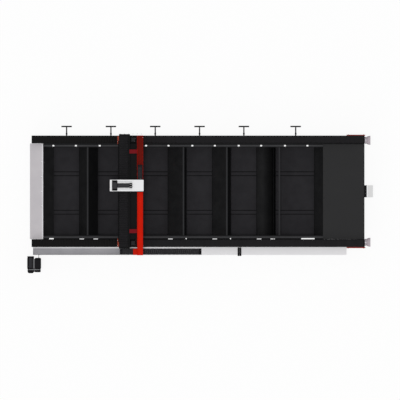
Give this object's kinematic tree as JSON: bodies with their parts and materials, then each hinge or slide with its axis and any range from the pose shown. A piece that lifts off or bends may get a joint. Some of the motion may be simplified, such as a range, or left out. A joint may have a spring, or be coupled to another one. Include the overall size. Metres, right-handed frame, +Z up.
{
  "type": "flat-bed fiber laser cutting machine",
  "caption": "Large-format open flat-bed laser cutter: black box-beam bed with slag drawers, a travelling gantry with a red chain trough, a white carriage with cutting head and a side console.",
  "frame": {"origin": "on the floor under the middle of the whole machine's outline", "axes": "+X along the bed towards the extraction collars, +Y towards the drawers' pull side, +Z up"},
  "size_m": [10.02, 4.26, 1.604],
  "materials": {
    "bellows_cloth": "coated cloth",
    "black_frame_paint": "satin powder coat",
    "black_sheet_paint": "satin powder coat",
    "bright_red_paint": "satin powder coat",
    "button_red": "glossy",
    "chain_plastic": "moulded",
    "conduit_rubber": "matt",
    "console_dark_paint": "satin powder coat",
    "dark_cover_paint": "satin powder coat",
    "dark_red_paint": "satin powder coat",
    "display_panel": "glossy",
    "grey_sheet_paint": "satin powder coat",
    "head_metal": "anodised",
    "light_box_paint": "satin powder coat",
    "light_collar_paint": "satin powder coat",
    "motor_black": "satin",
    "steel_guides": "ground",
    "tray_grey_paint": "satin powder coat",
    "white_hood_paint": "satin powder coat",
    "zinc_feet": "zinc plated"
  },
  "bodies": {
    "machine_bed": {"bay_ribs": "black_sheet_paint", "cable_conduit": "conduit_rubber", "console_cabinet": "console_dark_paint", "console_display": "display_panel", "cover_plate_right": "dark_cover_paint", "drawer_runners": "black_sheet_paint", "end_frames": "black_frame_paint", "end_panel_left": "grey_sheet_paint", "extraction_collars": "light_collar_paint", "frame_posts": "black_frame_paint", "frame_sills": "black_frame_paint", "hopper_plates": "black_sheet_paint", "keyboard_shelf": "console_dark_paint", "ledge_back": "black_frame_paint", "ledge_front": "black_frame_paint", "levelling_feet": "zinc_feet", "long_drag_chain": "chain_plastic", "rail_bellows_back_left": "bellows_cloth", "rail_bellows_back_right": "bellows_cloth", "rail_bellows_front_left": "bellows_cloth", "rail_bellows_front_right": "bellows_cloth", "red_side_plates": "dark_red_paint", "side_beam_back": "black_frame_paint", "side_beam_front": "black_frame_paint", "terminal_box": "light_box_paint", "terminal_bracket": "dark_cover_paint", "tray_deep": "grey_sheet_paint", "tray_raised": "light_box_paint", "tray_straps": "tray_grey_paint", "x_racks": "steel_guides", "x_rails": "steel_guides"},
    "gantry": {"gantry_beam": "black_sheet_paint", "gantry_end_back": "black_frame_paint", "gantry_end_front": "black_frame_paint", "x_servos": "motor_black", "chain_trough": "bright_red_paint", "trough_brackets": "dark_red_paint", "y_rails": "steel_guides", "y_rack": "steel_guides", "beam_bellows_back": "bellows_cloth", "beam_bellows_front": "bellows_cloth", "cross_drag_chain": "chain_plastic", "red_end_covers": "dark_red_paint"},
    "carriage": {"carriage_plate": "black_frame_paint", "carriage_cover": "white_hood_paint", "y_servo": "motor_black", "cable_duct": "dark_cover_paint", "z_drive": "dark_cover_paint"},
    "cutting_unit": {"z_slide": "head_metal", "cutting_head": "head_metal"},
    "back_drive_pinion": {"x_pinion_back": "steel_guides"},
    "front_drive_pinion": {"x_pinion_front": "steel_guides"},
    "cross_drive_pinion": {"y_pinion": "steel_guides"},
    "stop_button": {"emergency_stop_button": "button_red"},
    "drawer_1": {"slag_drawer_1": "black_sheet_paint"},
    "drawer_2": {"slag_drawer_2": "black_sheet_paint"},
    "drawer_3": {"slag_drawer_3": "black_sheet_paint"},
    "drawer_4": {"slag_drawer_4": "black_sheet_paint"},
    "drawer_5": {"slag_drawer_5": "black_sheet_paint"},
    "drawer_6": {"slag_drawer_6": "black_sheet_paint"}
  },
  "joints": [
    {"name": "gantry_travel", "type": "slide", "parent": "machine_bed", "child": "gantry", "axis": [1, 0, 0], "range_m": [-1.93, 5.84], "deforming": ["rail_bellows_back_left", "rail_bellows_back_right", "rail_bellows_front_left", "rail_bellows_front_right", "long_drag_chain"]},
    {"name": "carriage_travel", "type": "slide", "parent": "gantry", "child": "carriage", "axis": [0, 1, 0], "range_m": [-1.427, 1.073], "deforming": ["beam_bellows_back", "beam_bellows_front", "cross_drag_chain"]},
    {"name": "head_lift", "type": "slide", "parent": "carriage", "child": "cutting_unit", "axis": [0, 0, 1], "range_m": [-0.1, 0.1]},
    {"name": "back_pinion_spin", "type": "hinge", "parent": "gantry", "child": "back_drive_pinion", "pos_m": [-1.938, 1.734, 0.778], "axis": [0, 0, 1], "range_deg": [-2880, 8700]},
    {"name": "front_pinion_spin", "type": "hinge", "parent": "gantry", "child": "front_drive_pinion", "pos_m": [-1.938, -1.258, 0.778], "axis": [0, 0, 1], "range_deg": [-8700, 2880]},
    {"name": "cross_pinion_spin", "type": "hinge", "parent": "carriage", "child": "cross_drive_pinion", "pos_m": [-2.213, 0.496, 1.24], "axis": [0, 0, 1], "range_deg": [-2020, 2690]},
    {"name": "drawer_1_slide", "type": "slide", "parent": "machine_bed", "child": "drawer_1", "axis": [0, 1, 0], "range_m": [0, 2.3]},
    {"name": "drawer_2_slide", "type": "slide", "parent": "machine_bed", "child": "drawer_2", "axis": [0, 1, 0], "range_m": [0, 2.3]},
    {"name": "drawer_3_slide", "type": "slide", "parent": "machine_bed", "child": "drawer_3", "axis": [0, 1, 0], "range_m": [0, 2.3]},
    {"name": "drawer_4_slide", "type": "slide", "parent": "machine_bed", "child": "drawer_4", "axis": [0, 1, 0], "range_m": [0, 2.3]},
    {"name": "drawer_5_slide", "type": "slide", "parent": "machine_bed", "child": "drawer_5", "axis": [0, 1, 0], "range_m": [0, 2.3]},
    {"name": "drawer_6_slide", "type": "slide", "parent": "machine_bed", "child": "drawer_6", "axis": [0, 1, 0], "range_m": [0, 2.3]},
    {"name": "stop_button_press", "type": "slide", "parent": "machine_bed", "child": "stop_button", "axis": [0, 1, 0], "range_m": [0, 0.005], "stiffness_N_per_m": 800}
  ],
  "couplings": [
    {"joint": "back_pinion_spin", "follows": "gantry_travel", "rad_per_m": 25.974},
    {"joint": "front_pinion_spin", "follows": "gantry_travel", "rad_per_m": -25.974},
    {"joint": "cross_pinion_spin", "follows": "carriage_travel", "rad_per_m": -32.787}
  ]
}
